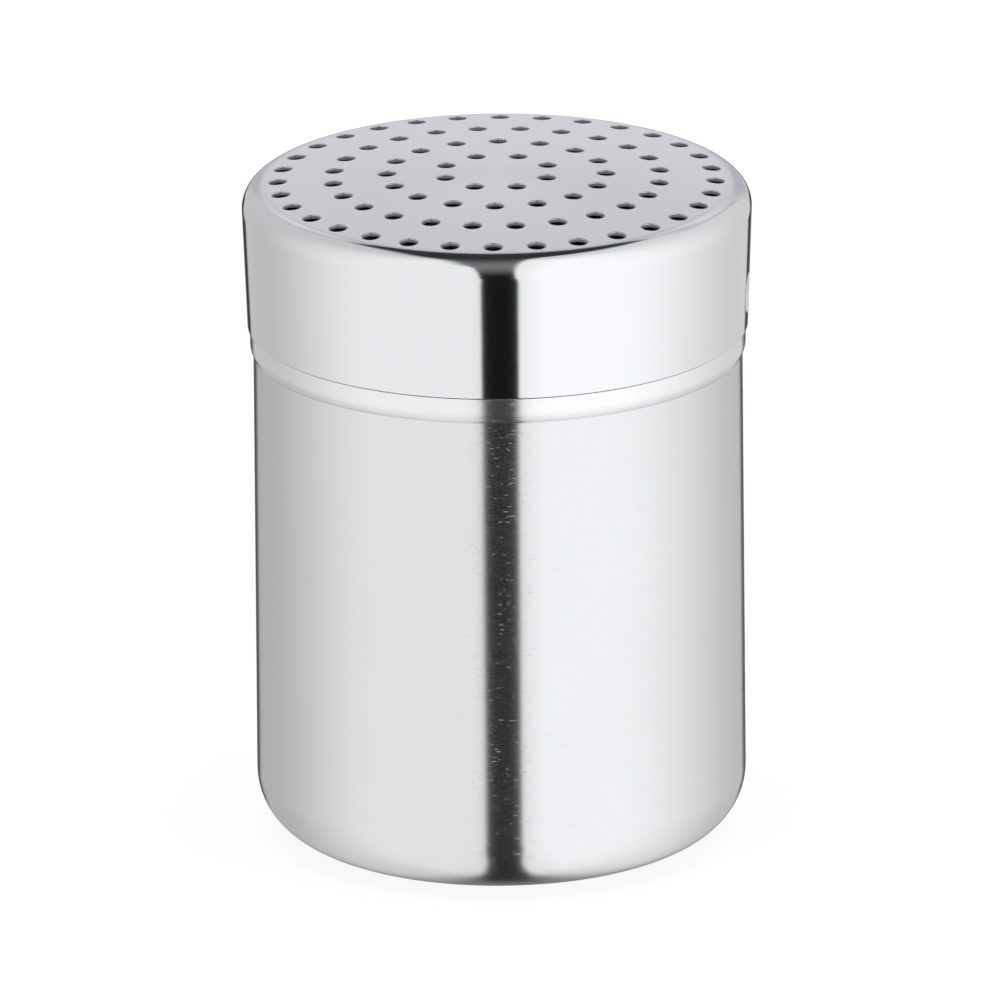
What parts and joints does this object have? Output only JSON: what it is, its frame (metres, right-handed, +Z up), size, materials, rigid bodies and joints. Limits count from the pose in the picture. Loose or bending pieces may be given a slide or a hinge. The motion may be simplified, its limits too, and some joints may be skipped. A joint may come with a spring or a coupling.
{
  "type": "spice shaker",
  "caption": "Cylindrical stainless-steel shaker: a drawn cup with a stop bead and rounded base, and a lift-off bayonet lid with a slightly domed perforated top.",
  "frame": {"origin": "middle of the flat ring that the cup stands on", "axes": "+Z up along the axis of the cup and lid; the picture's camera is on the -Y side, and +X is to its right"},
  "size_m": [0.0704, 0.0704, 0.095],
  "materials": {
    "brushed_wall": "satin, brushed finely round the axis",
    "polished_lid": "bright polished skirt and a smooth satin top"
  },
  "bodies": {
    "cup": {"cup": "brushed_wall"},
    "lid": {"perforated_lid": "polished_lid"}
  },
  "joints": [
    {"name": "lid_lift", "type": "slide", "parent": "cup", "child": "lid", "axis": [0, 0, 1], "range_m": [0, 0.06]}
  ]
}
